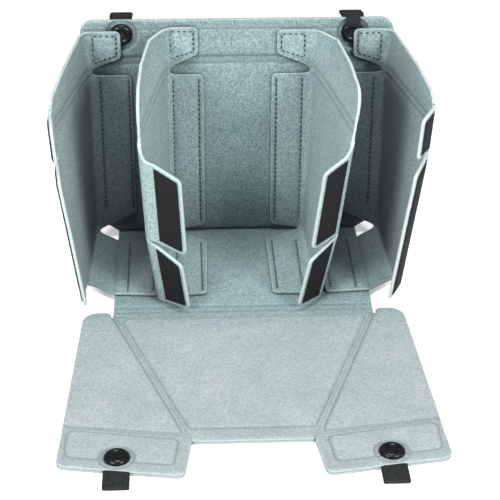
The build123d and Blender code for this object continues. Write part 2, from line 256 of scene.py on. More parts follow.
def distance(points, line, closed=True):
    """Distance from each point to a line of points."""
    a = np.asarray(line, float)
    b = np.roll(a, -1, axis=0) if closed else a[1:]
    a = a if closed else a[:-1]
    d = b - a
    length = np.maximum((d * d).sum(1), 1e-12)
    found = []
    for part in batches(points):
        off = part[:, None] - a
        t = np.clip((off * d).sum(2) / length, 0, 1)
        found.append(np.sqrt(((off - t[..., None] * d) ** 2).sum(2)).min(1))
    return np.concatenate(found)


def depth(points, loop):
    """Distance to a closed outline, positive inside it."""
    a, b = loop, np.roll(loop, -1, axis=0)
    rise = np.where(np.abs(b[:, 1] - a[:, 1]) < 1e-9, 1e-9, b[:, 1] - a[:, 1])
    within = []
    for part in batches(points):
        y = part[:, 1][:, None]
        crosses = (a[:, 1] > y) != (b[:, 1] > y)
        at = a[:, 0] + (y - a[:, 1]) / rise * (b[:, 0] - a[:, 0])
        within.append((crosses & (part[:, 0][:, None] < at)).sum(1) % 2 == 1)
    return np.where(np.concatenate(within), 1, -1) * distance(points, loop)


def cross_2d(a, b):
    return a[:, 0] * b[:, 1] - a[:, 1] * b[:, 0]


def beside(line, offsets, closed=True):
    """Points alongside a line, at each sideways offset."""
    line = np.asarray(line, float)
    if closed:
        along = np.roll(line, -1, axis=0) - np.roll(line, 1, axis=0)
    else:
        along = np.gradient(line, axis=0)
    across = unit(along)[:, ::-1] * [1, -1]
    return np.concatenate([line + across * o for o in offsets])


def fill(loop, step=FELT_STEP, lines=()):
    """Triangles inside a closed outline, with extra points beside its edge and beside the given lines."""
    fine = [beside(loop, (-0.8, 0.8, -1.9, 1.9))]
    for line, closed in lines:
        fine.append(beside(line, (-1.5, -0.5, 0.5, 1.5), closed))
    fine = np.concatenate(fine)
    fine = fine[np.unique(np.round(fine / 0.75).astype(int), axis=0, return_index=True)[1]]
    fine = fine[depth(fine, loop) > 0.55]
    low, high = loop.min(0), loop.max(0)
    grid = [(x + step / 2 * (row % 2), y)
            for row, y in enumerate(np.arange(low[1], high[1], step * 0.866))
            for x in np.arange(low[0], high[0], step)]
    grid = np.array(grid)
    grid = grid[depth(grid, loop) > 2.4]
    if len(lines):
        away = np.min([distance(grid, line, closed) for line, closed in lines], axis=0)
        grid = grid[away > 2.0]
    points = np.concatenate([loop, fine, grid])
    outline = [list(range(len(loop)))]
    verts, _, faces = delaunay_2d_cdt([Vector(p) for p in points], [], outline, 1, 1e-5, False)[:3]
    verts, faces = np.array([tuple(v) for v in verts]), np.array(faces)
    edge = verts[:len(loop)]
    turn = cross_2d(edge, np.roll(edge, -1, axis=0)).sum()
    ordered = np.sort(faces, axis=1)
    a, b, c = (verts[ordered[:, k]] for k in range(3))
    outside = (faces.max(1) < len(loop)) & (cross_2d(b - a, c - a) * turn <= 0)
    faces = faces[~outside]
    a, b, c = (verts[faces[:, k]] for k in range(3))
    turned = cross_2d(b - a, c - a) < 0
    faces[turned] = faces[turned][:, ::-1]
    return verts, faces


def ripple(points, size=0.16):
    """A soft unevenness of the felt, the same everywhere on the object."""
    x, y, z = (points[:, k] for k in range(3))
    waves = np.sin(x / 7.3 + y / 11.9 + 0.7) + np.sin(y / 8.9 - z / 6.1 + 2.1)
    waves += np.sin(z / 9.7 + x / 13.3 + 4.0)
    small = np.sin(x / 2.9 - z / 3.3 + 1.0) * np.sin(y / 3.1 + z / 4.1 + 0.4)
    return size * (waves / 3 + 0.35 * small)


# Meshes

def border(faces):
    """The border loops of a triangle mesh, as lists of points in order."""
    edges = {(int(t[k]), int(t[(k + 1) % 3])) for t in faces for k in range(3)}
    following = {a: b for a, b in edges if (b, a) not in edges}
    loops = []
    while following:
        here = min(following)
        loop = []
        while here in following:
            loop.append(here)
            here = following.pop(here)
        loops.append(loop)
    return loops


def new_mesh(name, points, faces, material, marks=None):
    """A smooth-shaded object from points in millimetres, with its material and its per-point marks."""
    mesh = bpy.data.meshes.new(name)
    mesh.from_pydata([tuple(p) for p in placed(points)], [], [tuple(int(i) for i in f) for f in faces])
    mesh.polygons.foreach_set("use_smooth", [True] * len(mesh.polygons))
    for mark, values in (marks or {}).items():
        mesh.attributes.new(mark, "FLOAT", "POINT").data.foreach_set("value", np.asarray(values, np.float32))
    mesh.materials.append(material)
    mesh.update()
    obj = bpy.data.objects.new(name, mesh)
    bpy.context.scene.collection.objects.link(obj)
    return obj


def closed_felt(name, top, bottom, faces, material, press_and_shade=None, joined=None, lip=LIP, rim_at=None):
    """A closed felt piece between two faces of the same triangles. Its cut edge is rounded and marked as rim,
    as strongly as rim_at says, except where joined says that the piece goes on into its neighbour."""
    count = len(top)
    top, bottom = top.copy(), bottom.copy()
    middle = (top + bottom) / 2
    rim_at = rim_at or (lambda p: np.ones(len(p)))
    quads, total = [], 2 * count
    points, marks = [top, bottom], [None, None]
    cut = []
    for loop in border(faces):
        loop = np.array(loop)
        mid, half = middle[loop].copy(), (top[loop] - bottom[loop]) / 2
        along = np.roll(mid, -1, axis=0) - np.roll(mid, 1, axis=0)
        outward = unit(np.cross(along, half))
        size = np.array([0.0 if joined is not None and joined(p) else lip for p in mid])[:, None]
        mid -= outward * size
        top[loop] -= outward * size
        bottom[loop] -= outward * size
        cut += [p for p, s in zip(middle[loop], size) if s]
        rings = [loop]
        strength = rim_at(mid) * (size[:, 0] > 0)
        for angle in (52, 0, -52):
            share = radians(angle)
            rise = half * np.sign(share) * abs(sin(share)) ** 0.7
            points.append(mid + outward * size * cos(share) ** 0.6 + rise)
            marks.append(strength)
            rings.append(np.arange(total, total + len(loop)))
            total += len(loop)
        rings.append(loop + count)
        for upper, lower in zip(rings, rings[1:]):
            quads += list(zip(upper, lower, np.roll(lower, -1), np.roll(upper, -1)))
    near = np.zeros(count)
    if cut:
        near = np.clip(1.15 - distance(middle, np.array(cut), False) / 1.2, 0, 1) * 0.75 * rim_at(middle)
    marks[0] = marks[1] = near
    # Marks pressed felt and painted groove shade; the underside gets half.
    pressed_and_shaded = np.zeros(total)
    if press_and_shade is not None:
        pressed_and_shaded[:count] = press_and_shade
        pressed_and_shaded[count:2 * count] = press_and_shade * 0.5
    solid = list(faces) + [f + count for f in faces[:, ::-1]] + quads
    every = np.concatenate(points)
    pale = ease((PALE_START - every[:, 1]) / PALE_LONG)
    shown = {"rim": np.concatenate(marks), "press_and_shade": pressed_and_shaded, "pale": pale}
    return new_mesh(name, every, solid, material, shown)


def relax(points, faces, weight, rounds):
    """Rounds off folds: points move to their neighbours' middle by weight, border points along the border."""
    pairs = np.concatenate([faces[:, [0, 1]], faces[:, [1, 2]], faces[:, [2, 0]]])
    pairs = np.unique(np.sort(pairs, axis=1), axis=0)
    on_border = np.zeros(len(points), bool)
    rim_pairs = []
    for loop in border(faces):
        on_border[loop] = True
        rim_pairs += [(loop[k - 1], loop[k]) for k in range(len(loop))]
    rim_pairs = np.array(rim_pairs)
    inner = pairs[~(on_border[pairs[:, 0]] & on_border[pairs[:, 1]])]
    links = [(inner[:, 0], inner[:, 1], ~on_border), (rim_pairs[:, 0], rim_pairs[:, 1], on_border)]
    points = points.copy()
    for _ in range(rounds):
        moved = points.copy()
        for a, b, mask in links:
            total, number = np.zeros_like(points), np.zeros(len(points))
            np.add.at(total, a, points[b])
            np.add.at(total, b, points[a])
            np.add.at(number, a, 1)
            np.add.at(number, b, 1)
            use = mask & (number > 0)
            moved[use] += weight[use, None] * (total[use] / number[use, None] - points[use]) * 0.7
        points = moved
    return points


def area_of(points, faces):
    """Area in square metres of triangles in millimetres."""
    a, b, c = (points[faces[:, k]] for k in range(3))
    return float(np.linalg.norm(np.cross(b - a, c - a), axis=1).sum()) / 2 / 1e6


def normals(points, faces):
    a, b, c = (points[faces[:, k]] for k in range(3))
    flat = np.cross(b - a, c - a)
    out = np.zeros_like(points)
    for k in range(3):
        np.add.at(out, faces[:, k], flat)
    return unit(out)


# Materials

def socket(node, name, value):
    node.inputs[name].default_value = value


class Shader:
    """A Principled material with short calls for the nodes that it is built from."""

    def __init__(self, name, roughness, metallic=0.0):
        self.material = bpy.data.materials.new(name)
        self.material.use_nodes = True
        self.tree = self.material.node_tree
        self.surface = self.tree.nodes["Principled BSDF"]
        socket(self.surface, "Roughness", roughness)
        socket(self.surface, "Metallic", metallic)
        self.place = self.add("ShaderNodeTexCoord").outputs["Object"]

    def add(self, kind, **values):
        node = self.tree.nodes.new(kind)
        for key, value in values.items():
            setattr(node, key, value)
        return node

    def link(self, source, target):
        self.tree.links.new(source, target)

    def noise(self, scale, detail=3.0, roughness=0.6, stretch=None, turn=(0, 0, 0)):
        node = self.add("ShaderNodeTexNoise")
        socket(node, "Scale", scale)
        socket(node, "Detail", detail)
        socket(node, "Roughness", roughness)
        source = self.place
        if stretch:
            mapping = self.add("ShaderNodeMapping")
            socket(mapping, "Scale", stretch)
            socket(mapping, "Rotation", tuple(radians(t) for t in turn))
            self.link(source, mapping.inputs["Vector"])
            source = mapping.outputs["Vector"]
        self.link(source, node.inputs["Vector"])
        return node.outputs["Fac"]

    def mark(self, name):
        return self.add("ShaderNodeAttribute", attribute_name=name).outputs["Fac"]

    def span(self, source, low, high, to_low=0.0, to_high=1.0):
        node = self.add("ShaderNodeMapRange")
        for name, value in zip(("From Min", "From Max", "To Min", "To Max"), (low, high, to_low, to_high)):
            socket(node, name, value)
        self.link(source, node.inputs["Value"])
        return node.outputs["Result"]

    def maths(self, operation, a, b):
        node = self.add("ShaderNodeMath", operation=operation)
        for slot, value in zip(node.inputs, (a, b)):
            if isinstance(value, (int, float)):
                slot.default_value = value
            else:
                self.link(value, slot)
        return node.outputs["Value"]

    def mix(self, share, a, b):
        node = self.add("ShaderNodeMix", data_type="RGBA")
        self.link(share, node.inputs["Factor"])
        for slot, value in ((node.inputs["A"], a), (node.inputs["B"], b)):
            if isinstance(value, tuple):
                slot.default_value = (*value, 1)
            else:
                self.link(value, slot)
        return node.outputs["Result"]

    def colour(self, source):
        self.link(source, self.surface.inputs["Base Color"])

    def bump(self, height, strength, size):
        node = self.add("ShaderNodeBump")
        socket(node, "Strength", strength)
        socket(node, "Distance", size)
        self.link(height, node.inputs["Height"])
        self.link(node.outputs["Normal"], self.surface.inputs["Normal"])


def felt_material(name, dark, middle, light, rim, pale=None):
    """Needle felt: a melange of fibres, fleck and soft clouds, paler where it is cut, darker where it is
    pressed (pressed felt, with painted shade in the grooves) and with painted shade from ambient occlusion in
    nooks and crevices. pale holds the dark, middle and light shades that it turns to where it is marked."""
    s = Shader(name, 0.93)
    socket(s.surface, "Sheen Weight", 0.10)
    socket(s.surface, "Sheen Roughness", 0.55)
    socket(s.surface, "Specular IOR Level", 0.18)
    fleck = s.noise(800, 5, 0.75)
    cloud = s.noise(38, 3, 0.6)
    long_fibres = s.noise(1, 3, 0.6, (260, 2300, 2300), (20, 35, 15))
    cross_fibres = s.noise(1, 3, 0.6, (2300, 300, 2100), (50, 10, 70))
    upright_fibres = s.noise(1, 3, 0.6, (2200, 2200, 280), (30, 25, 40))
    fibres = s.maths("MAXIMUM", s.maths("MAXIMUM", long_fibres, cross_fibres), upright_fibres)
    shades = [dark, middle, light]
    if pale:
        shades = [s.mix(s.mark("pale"), a, b) for a, b in zip(shades, pale)]
    base = s.mix(s.span(fleck, 0.42, 0.60), shades[0], shades[1])
    base = s.mix(s.span(fibres, 0.56, 0.74, 0.0, 0.75), base, shades[2])
    base = s.mix(s.span(cloud, 0.3, 0.7, 0.0, 0.22), base, dark)
    # Pressed felt is darker, and this mark also paints shade into the grooves and round the wells.
    base = s.mix(s.span(s.mark("press_and_shade"), 0.0, 1.0, 0.0, 0.6), base, tuple(0.7 * v for v in dark))
    # Painted shade: ambient occlusion over a long and a short reach darkens the colour in corners, crevices
    # and along contact lines.
    for reach, low, high, most in ((0.075, 0.10, 0.62, 0.85), (0.005, 0.25, 0.80, 0.70)):
        painted_shade_ao = s.add("ShaderNodeAmbientOcclusion", samples=6)
        socket(painted_shade_ao, "Distance", reach)
        base = s.mix(s.span(painted_shade_ao.outputs["AO"], low, high, most, 0.0), base, tuple(0.22 * v for v in dark))
    base = s.mix(s.span(s.mark("rim"), 0.1, 1.0, 0.0, 0.8), base, rim)
    s.colour(base)
    s.bump(s.maths("ADD", s.maths("MULTIPLY", fleck, 0.8), fibres), 0.9, 0.0008)
    return s.material


def grained(name, roughness, noise, ends, dark, light, bump=None, specular=None, metallic=0.0, gloss=None):
    """A material whose colour runs from dark to light with a fine noise, as its bump or roughness may."""
    s = Shader(name, roughness, metallic)
    if specular is not None:
        socket(s.surface, "Specular IOR Level", specular)
    grain = s.noise(*noise)
    s.colour(s.mix(s.span(grain, *ends), dark, light))
    if bump:
        s.bump(grain, *bump)
    if gloss:
        s.link(s.span(grain, *gloss), s.surface.inputs["Roughness"])
    return s.material


def plain_material(name, shade):
    """A smooth pale ground that glows a little, so that it shows as white."""
    s = Shader(name, 0.9)
    socket(s.surface, "Emission Color", (1, 1, 1, 1))
    socket(s.surface, "Emission Strength", 0.35)
    s.colour(s.mix(s.noise(3, 2), (shade,) * 3, (shade * 0.99,) * 3))
    return s.material


RIM = (0.42, 0.49, 0.485)
PANEL_SHADES = (0.100, 0.165, 0.167), (0.275, 0.365, 0.365), (0.45, 0.55, 0.545)
FLAP_SHADES = (0.225, 0.270, 0.280), (0.345, 0.391, 0.402), (0.50, 0.53, 0.54)
PANEL_FELT = felt_material("panel_felt", *PANEL_SHADES, RIM)
FLAP_FELT = felt_material("flap_felt", *PANEL_SHADES, (0.45, 0.51, 0.515), FLAP_SHADES)
WALL_FELT = felt_material("wall_felt", (0.135, 0.208, 0.210), (0.345, 0.452, 0.452), (0.52, 0.61, 0.605),
                          (0.47, 0.54, 0.535))
LINING_FELT = felt_material("lining_felt", (0.10, 0.145, 0.145), (0.18, 0.235, 0.232), (0.30, 0.36, 0.355),
                            (0.34, 0.40, 0.40))
HOOKS = grained("hook_tape", 0.82, (2100, 2, 0.5), (0.4, 0.65),
                (0.002, 0.002, 0.0025), (0.007, 0.008, 0.008), bump=(0.7, 0.0004), specular=0.25)
WEBBING = grained("black_webbing", 0.9, (1, 2, 0.5, (2600, 500, 500)), (0.35, 0.7),
                  (0.005, 0.006, 0.006), (0.022, 0.025, 0.025), bump=(0.4, 0.0002), specular=0.2)
CAP = grained("stud_plastic", 0.28, (420, 4, 0.6), (0.3, 0.8),
              (0.003, 0.003, 0.0035), (0.010, 0.011, 0.011), specular=0.2, gloss=(0.35, 0.75, 0.24, 0.40))
METAL = grained("stud_socket_metal", 0.35, (700, 3, 0.6), (0.3, 0.7),
                (0.10, 0.10, 0.10), (0.22, 0.22, 0.21), metallic=1.0, gloss=(0.3, 0.7, 0.25, 0.5))
THREAD = grained("dark_thread", 0.7, (1, 2, 0.5, (1800, 1800, 1800)), (0.35, 0.65),
                 (0.006, 0.010, 0.011), (0.030, 0.040, 0.042), bump=(0.4, 0.0002))
BOARD = grained("grey_board", 0.85, (1, 4, 0.6, (900, 300, 900)), (0.3, 0.7),
                (0.16, 0.14, 0.12), (0.30, 0.27, 0.23), bump=(0.3, 0.0002))


# Padded panels

def diagonal_x(y, shift=0.0):
    along = (FOLD_Y - y) / (FOLD_Y - NOTCH_Y)
    return DIAGONAL_TOP + (NOTCH_HALF - DIAGONAL_TOP) * along + shift


def leg_fold_y(x, shift=0.0):
    along = (x - NOTCH_HALF) / (FLAP_HALF - NOTCH_HALF)
    return LEG_FOLD_INNER + (LEG_FOLD_OUTER - LEG_FOLD_INNER) * along + shift


def flat_on(points):
    return points


def upright(points):
    """Stands a panel drawn in X and Y up against the back: its Y becomes Z and its height faces -Y."""
    return points[:, [0, 2, 1]] * [1, -1, 1]


def surface_height(points, pads, wells, grooves):
    """Height of a moulded skin: pads over a pressed ground, less the wells round the studs and the grooves.
    Also how strongly the felt is pressed, most along the foot of each pad, which the material darkens both as
    pressed felt and as painted shade in the grooves."""
    height, press_and_shade = np.full(len(points), -PRESSED), np.full(len(points), 0.16)
    for pad in pads:
        into = depth(points, pad)
        swell = CROWN * (1 - np.exp(-np.maximum(into, 0) / 9))
        raised = -PRESSED + (PRESSED - CROWN) * ease(into / PAD_SLOPE + 0.5) + swell
        height = np.maximum(height, raised)
        foot = np.exp(-((into + 0.45) / 0.75) ** 2)
        height -= 0.32 * foot
        press_and_shade = np.maximum(press_and_shade * (into < 0.5), foot)
    for x, y, base in wells:
        off = np.hypot(points[:, 0] - x, points[:, 1] - y)
        ring = 0.45 * np.exp(-((off - WELL_R - 0.9) / 0.9) ** 2)
        share = ease((WELL_R - off) / 1.8 + 0.5)
        height = height * (1 - share) + base * share + ring * (base > -2)
        press_and_shade = np.maximum(press_and_shade, 0.8 * np.exp(-((off - WELL_R + 0.6) / 0.9) ** 2))
    for line, deep in grooves:
        trench = np.exp(-(distance(points, line, False) / 0.8) ** 2)
        height -= deep * trench
        press_and_shade = np.maximum(press_and_shade, trench * (deep > 0))
    return height, press_and_shade


def panel_rim(points):
    return np.full(len(points), 0.5)


def panel(name, outline, pads, felt, body=None, turn=flat_on, wells=(), grooves=(), straps=(), joined=None):
    """Moulded skin and flat lining of one padded panel, attached to body where one is given."""
    lines = [(pad, True) for pad in pads] + [(line, False) for line, _ in grooves]
    for x, y, _ in wells:
        ring = [(x + WELL_R * cos(a), y + WELL_R * sin(a)) for a in around(40)]
        lines.append((np.array(ring), True))
    flat_points, faces = fill(outline, FELT_STEP, lines)
    height, press_and_shade = surface_height(flat_points, pads, wells, grooves)
    if joined is None:
        edge, joined_at = depth(flat_points, outline), None
    else:
        edge = distance(flat_points, np.array([p for p in outline if not joined(p)]), False)
        joined_at = lambda p: joined(flatten(p, turn))
    height -= EDGE_DROP * (1 - ease(edge / 1.6))
    full = np.column_stack([flat_points, height])
    full[:, 2] += ripple(full, 0.13) * ease(edge / 3)
    inner = np.column_stack([flat_points, np.full(len(height), SKIN_LOW)])
    under = np.full(len(height), -PANEL)
    for x, start, end in straps:
        inside = np.minimum(WEB / 2 + 0.4 - np.abs(flat_points[:, 0] - x),
                            np.minimum(flat_points[:, 1] - start, end - flat_points[:, 1]))
        under += ease(inside / 1.2)
    bottom = np.column_stack([flat_points, under])
    skin = closed_felt(f"{name}_skin_felt", turn(full), turn(inner), faces, felt, press_and_shade, joined_at,
                       rim_at=panel_rim)
    lining = closed_felt(f"{name}_lining_felt", turn(inner), turn(bottom), faces, LINING_FELT,
                         joined=joined_at, lip=0.4)
    flat_size = tuple(np.ptp(flat_points, axis=0) / 1000)
    area_of(bottom, faces)
    skin_slot = "flap_felt" if name.startswith("flap") else "panel_felt"
    for piece, layer, slot in ((skin, "skin", skin_slot), (lining, "lining", "lining_felt")):
        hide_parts(f"{name}_{layer}")
        if body is not None:
            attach(piece, body)
    return skin, lining


def flatten(point, turn):
    """The drawing-plane x and y of a point, undoing turn."""
    return np.array([point[0], point[2] if turn is upright else point[1]])


def on_lines(*lines):
    """Tells whether a drawn point lies on one of the lines, where the felt goes on into its neighbour."""
    lines = [np.array(line, float) for line in lines]
    return lambda p: any(float(distance(np.array([p]), line, False)[0]) < 0.25 for line in lines)


def back_panel():
    outline = rounded(mirrored([(BASE_HALF, 0), (BACK_HALF, CORNER_CUT), (BACK_HALF, BACK_TOP, 9)]))
    past = BACK_HALF + PAD_PAST
    band = rounded(mirrored([(past, BAND_LOW), (past, BAND_TOP - 1)]))
    field = rounded(mirrored([(BASE_HALF - 2, -PAD_PAST), (past, CORNER_CUT), (past, FIELD_TOP)]))
    wells = [(side * STUD_X, STUD_BACK_Z, BACK_WELL) for side in (-1, 1)]
    straps = [(side * STUD_X, STUD_BACK_Z - STRAP_TAIL, BACK_TOP + 2) for side in (-1, 1)]
    ridge = dense([(-BACK_HALF, RIDGE_Z), (BACK_HALF, RIDGE_Z)], 3, False)
    panel("back", outline, [band, field], PANEL_FELT, "shell", upright, wells, [(ridge, -RIDGE_HIGH)], straps)


def floor_panel():
    outline = rounded(mirrored([(BASE_HALF - 3.2, FOLD_Y), (BASE_HALF, FOLD_Y + 3.6), (BASE_HALF, PANEL)]))
    past = BASE_HALF + PAD_PAST
    pad = rounded(mirrored([(past, FLOOR_FRONT), (past, PANEL + PAD_PAST)]))
    y, deep = FLOOR_CREASE
    crease = dense([(-BASE_HALF, y), (BASE_HALF, y)], 3, False)
    at_fold = on_lines([(-BASE_HALF + 3.4, FOLD_Y), (BASE_HALF - 3.4, FOLD_Y)])
    panel("floor", outline, [pad], FLAP_FELT, "shell", grooves=[(crease, deep)], joined=at_fold)


def flap_pads():
    """All the flap's pads, so that neighbouring pieces meet at the same height."""
    room = FOLD_ROOM * 1.06
    low, high = CENTRE_PAD
    pads = [rounded(mirrored([(diagonal_x(low, -room), low, 2.5), (diagonal_x(high, -room), high, 2.5)]))]
    for side in (-1, 1):
        foot = leg_fold_y(NOTCH_HALF + 8, FOLD_ROOM)
        wide = [(diagonal_x(foot, room), leg_fold_y(diagonal_x(foot), FOLD_ROOM), 2),
                (FLAP_HALF + 6, leg_fold_y(FLAP_HALF, FOLD_ROOM)), (EAR_HALF + 8, EAR_Y + 9),
                (diagonal_x(EAR_Y + 9, room), EAR_Y + 9)]
        leg = [(LEG_INNER_X + 3.5, leg_fold_y(LEG_INNER_X, -3.2), 3),
               (LEG_INNER_X + 6.2, LEG_END_INNER + 9.6, 3),
               (LEG_END_HALF - 5.4, LEG_END_OUTER + 7.6, 4),
               (FLAP_HALF - 3.2, leg_fold_y(FLAP_HALF, -3.2), 4)]
        pads += [rounded(flip(wide, side)), rounded(flip(leg, side))]
    return pads


def fold_blend(pieces, point, across):
    """Bakes each piece's placement into its mesh. It works out the ends of a fold line through point, child
    side along across, but does not use them.
    """
    start = placed(point)
    end = placed(np.array(point, float) + unit(across) * BEND)
    for piece in pieces:
        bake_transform(piece)


def flap():
    pads = flap_pads()
    centre = rounded(mirrored([(NOTCH_HALF, NOTCH_Y, 1.5), (DIAGONAL_TOP, FOLD_Y)]))
    diagonal = [(DIAGONAL_TOP, FOLD_Y), (NOTCH_HALF + 0.7, NOTCH_Y + 2)]
    joined = on_lines([(-DIAGONAL_TOP, FOLD_Y), (DIAGONAL_TOP, FOLD_Y)], flip(diagonal, -1), diagonal)
    pieces = panel("flap_centre", centre, pads[:1], FLAP_FELT, joined=joined)
    fold_blend(pieces, (0, FOLD_Y, 0), (0, -1, 0))
    for side, word in ((-1, "left"), (1, "right")):
        side_pad, leg_pad = pads[1:3] if side < 0 else pads[3:5]
        flap_side(side, word, side_pad)
        flap_leg(side, word, leg_pad)


def flap_side(side, word, pad):
    root = BASE_HALF + 1.0
    inner, outer = LEG_FOLD
    outline = [inner, outer, (EAR_HALF, EAR_Y, 11), (root + 0.6, EAR_Y, 2), (root, FOLD_Y),
               (DIAGONAL_TOP, FOLD_Y)]
    joined = on_lines(flip([(DIAGONAL_TOP, FOLD_Y), inner], side), flip(LEG_FOLD, side))
    pieces = panel(f"flap_side_{word}", rounded(flip(outline, side)), [pad], FLAP_FELT, joined=joined)
    across = (side * (FOLD_Y - NOTCH_Y), -(DIAGONAL_TOP - NOTCH_HALF), 0)
    fold_blend(pieces, (side * DIAGONAL_TOP, FOLD_Y, 0), across)


def flap_leg(side, word, pad):
    inner, outer = LEG_FOLD
    notch = (NOTCH_HALF + 0.15, NOTCH_Y + 0.6)
    outline = [notch, (LEG_INNER_X, LEG_END_INNER, 5), (LEG_END_HALF, LEG_END_OUTER, 7), outer, inner]
    wells = [(side * STUD_X, STUD_LEG_Y, LEG_WELL)]
    straps = [(side * STUD_X, LEG_LOOP_Y - 6, STUD_LEG_Y + STRAP_TAIL)]
    joined = on_lines(flip(LEG_FOLD, side), flip([inner, notch], side))
    pieces = panel(f"flap_leg_{word}", rounded(flip(outline, side)), [pad], FLAP_FELT,
                   wells=wells, straps=straps, joined=joined)
    across = (side * (LEG_FOLD_OUTER - LEG_FOLD_INNER), -(FLAP_HALF - NOTCH_HALF), 0)
    at = (side * NOTCH_HALF, LEG_FOLD_INNER, 0)
    fold_blend(pieces, at, across)


# Walls

def back_x(w, z):
    """x of a right-hand wall's back crease at a height."""
    top, notch, floor = w["crease"]
    return np.interp(z, [0, LONG_TAB_TOP, NOTCH_Z, TAB_TOP], [floor, notch, notch, top])


def wall_x(w, y, z):
    """x of a right-hand wall's middle surface: straight from the back crease to the front edge, and bulging
    above the crease that runs forward from the notch."""
    y, z = np.asarray(y, float), np.asarray(z, float)
    front = np.array(w["front"])
    edge_x = np.interp(z, front[:, 2], front[:, 0])
    edge_y = np.interp(z, front[:, 2], front[:, 1])
    back = back_x(w, z)
    share = np.clip((y + WALL / 2) / (edge_y + WALL / 2), 0, 1.05)
    straight = back + (edge_x - back) * share
    top = np.array([(w["crease"][0], -WALL / 2, TAB_TOP)] + w["top"] + [w["front"][-1]])
    rim_share = (top[:, 1] - top[0, 1]) / (top[-1, 1] - top[0, 1])
    rim_bulge = top[:, 0] - (top[0, 0] + (top[-1, 0] - top[0, 0]) * rim_share)
    bulge = np.interp(np.clip(share, 0, 1), rim_share, rim_bulge)
    return straight + bulge * ease(np.clip((z - NOTCH_Z + 4) / (TAB_TOP - NOTCH_Z + 2), 0, 1) ** 0.8 * 0.96)


def wall_regions(w):
    """The flat drawings that a wall is made of: outline, extra lines, map into space and facing direction."""
    half = WALL / 2
    low_z = np.linspace(half, LONG_TAB_TOP, 64)
    gap_z = np.linspace(LONG_TAB_TOP, NOTCH_Z, 3)
    tab_top = w.get("tall", TAB_TOP)
    top_z = np.linspace(NOTCH_Z, tab_top, 15)
    last = w["floor"][-1]
    floor_y = np.linspace(-half, last[1], 46)
    floor_edge = np.column_stack([wall_x(w, floor_y, np.full(len(floor_y), half)), floor_y])
    front = [(p[1], p[2]) for p in w["front"]]
    top = [(p[1], p[2]) for p in reversed(w["top"])]
    corner = front[-1]
    free = [(last[1], half), *front[:-1], (*corner, w["round"]), *[(*p, 12) for p in top], (-half, tab_top)]
    free = rounded(free + [(-half, half)])
    start = int(np.argmin(((free - [last[1], half]) ** 2).sum(1)))
    free = np.roll(free, -start, axis=0)
    stop = int(np.argmin(((free - [-half, tab_top]) ** 2).sum(1)))
    back = np.concatenate([top_z[::-1], gap_z[::-1][1:], low_z[::-1][1:]])
    wall_loop = np.concatenate([free[:stop], np.column_stack([np.full(len(back), -half), back])[:-1],
                                np.column_stack([floor_y, np.full(len(floor_y), half)])[:-1]])
    front_notch = (w["front"][3][1], w["front"][3][2])
    gusset = dense([(-half, NOTCH_Z - 1), front_notch], 1.5, False)
    gusset_lines = [gusset + [0, GUSSET_HALF], gusset - [0, GUSSET_HALF]]
    yield ("wall", wall_loop, gusset_lines,
           lambda p: np.column_stack([wall_x(w, p[:, 0], p[:, 1]), p[:, 0], p[:, 1]]), (-1, 0, 0))

    def crease(zs):
        return np.column_stack([back_x(w, zs), zs])

    def tab_loop(fixed, shared):
        """A tab's outline: its free side in dense steps, then the crease that it shares with the wall."""
        line = dense([shared[-1], *fixed, shared[0]], 1.5, False)
        return np.concatenate([line[:-1], shared[:-1]])

    top_tab, long_tab = w["tabs"]
    low_seams = [long_tab + s for s in w["seams"]]
    up_seams = [top_tab + s for s in TOP_SEAMS]
    shared = crease(low_z)
    free = round_chain([(long_tab, LONG_TAB_TOP), (long_tab, w["tab_low"])], shared[-1], shared[0], 3.5)
    yield ("long_tab", tab_loop(free, shared),
           [dense([(x, w["tab_low"] + 3), (x, LONG_TAB_TOP - 3)], 1.5, False) for x in low_seams],
           lambda p: np.column_stack([p[:, 0], np.full(len(p), -half), p[:, 1]]), (0, -1, 0))
    shared = crease(top_z)
    free = round_chain([(top_tab, tab_top), (top_tab, w["tab_notch"])], shared[-1], shared[0], 3.5)
    yield ("top_tab", tab_loop(free, shared),
           [dense([(x, w["tab_notch"] + 1), (x, tab_top - 2)], 1.5, False) for x in up_seams],
           lambda p: np.column_stack([p[:, 0], np.full(len(p), -half), p[:, 1]]), (0, -1, 0))
    inner = min(p[0] for p in w["floor"])
    seam_lines = [dense([(inner + s, FLOOR_SEAM_START), (inner + s, -22.0)], 1.5, False) for s in FLOOR_SEAMS]
    if len(w["floor"]) > 3:
        seam_lines.append(dense([(BASE_HALF, -88), (BASE_HALF, -16)], 1.5, False))
    free = round_chain(w["floor"][-2::-1], floor_edge[-1], floor_edge[0], 3.0)
    yield ("floor_tab", tab_loop(free, floor_edge), seam_lines,
           lambda p: np.column_stack([p, np.full(len(p), half)]), (0, 0, 1))


def round_chain(points, before, after, radius):
    """The points of an open chain with its inner corners rounded, its ends left out."""
    chain = [before, *[(p[0], p[1], radius) for p in points], after]
    line = rounded([tuple(p) for p in chain])
    first = int(np.argmin(((line - np.array(before)) ** 2).sum(1)))
    line = np.roll(line, -first, axis=0)
    last = int(np.argmin(((line - np.array(after)) ** 2).sum(1)))
    return [tuple(p) for p in line[1:last]]


def wall_rim(points):
    """How pale a wall's cut edge is: less where its tabs lie on the back and on the floor."""
    return 0.35 + 0.65 * ease(np.minimum((-points[:, 1] - 3) / 5, (points[:, 2] - 3) / 5))


